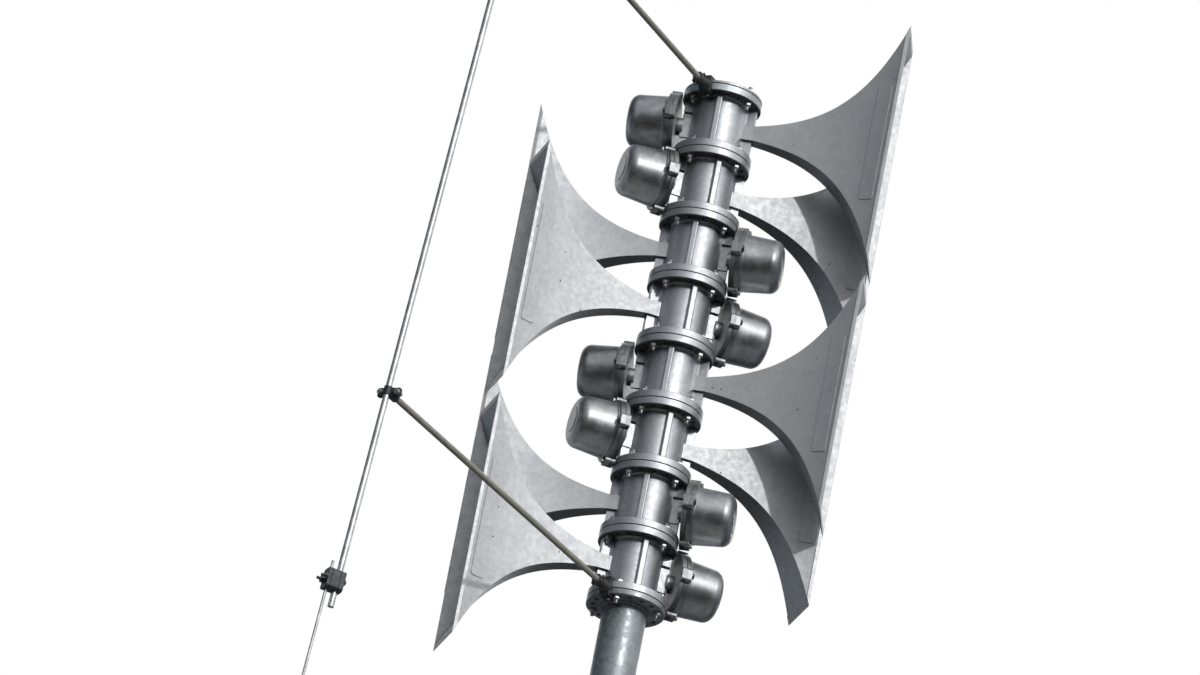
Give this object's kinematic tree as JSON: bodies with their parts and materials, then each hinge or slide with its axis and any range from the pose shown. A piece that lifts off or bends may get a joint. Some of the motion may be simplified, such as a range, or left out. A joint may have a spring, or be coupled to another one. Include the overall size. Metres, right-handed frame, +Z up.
{
  "type": "civil defense siren tower",
  "caption": "Electronic warning siren: stacked horn modules on a flanged steel standpipe, with a lightning rod held clear on insulating bars.",
  "frame": {"origin": "centre of the underside of the base flange, at ground level, on the column's axis", "axes": "+Z up along the column; the horns face +X and -X; the stand-off bars reach out towards -X and -Y"},
  "size_m": [1.2686, 1.2113, 5.205],
  "materials": {
    "cast_horn": "sand cast, matt and mottled",
    "cast_module": "sand cast, matt",
    "driver_shell": "drawn, semi-gloss, lightly scratched",
    "galvanised_pipe": "hot-dip galvanised, spangled",
    "dark_clamp": "cast, dull",
    "insulating_bar": "glass-fibre rod, matt",
    "bright_rod": "drawn, bright"
  },
  "bodies": {
    "root": {"standpipe": "galvanised_pipe", "base_flange": "galvanised_pipe", "head_flange": "galvanised_pipe", "module_1": "cast_module", "module_2": "cast_module", "module_3": "cast_module", "module_4": "cast_module", "module_5": "cast_module", "module_6": "cast_module", "module_7": "cast_module", "module_8": "cast_module", "horn_1": "cast_horn", "horn_2": "cast_horn", "horn_3": "cast_horn", "horn_4": "cast_horn", "horn_5": "cast_horn", "horn_6": "cast_horn", "horn_7": "cast_horn", "horn_8": "cast_horn", "driver_1": "driver_shell", "driver_2": "driver_shell", "driver_3": "driver_shell", "driver_4": "driver_shell", "driver_5": "driver_shell", "driver_6": "driver_shell", "driver_7": "driver_shell", "driver_8": "driver_shell", "cap_plate": "cast_module", "lower_bracket": "dark_clamp", "upper_bracket": "dark_clamp", "lower_rod_clamp": "dark_clamp", "upper_rod_clamp": "dark_clamp", "connector_clamp": "dark_clamp", "conductor_holders": "dark_clamp", "lower_bar": "insulating_bar", "upper_bar": "insulating_bar", "lightning_rod": "bright_rod", "down_conductor": "bright_rod"}
  },
  "joints": []
}
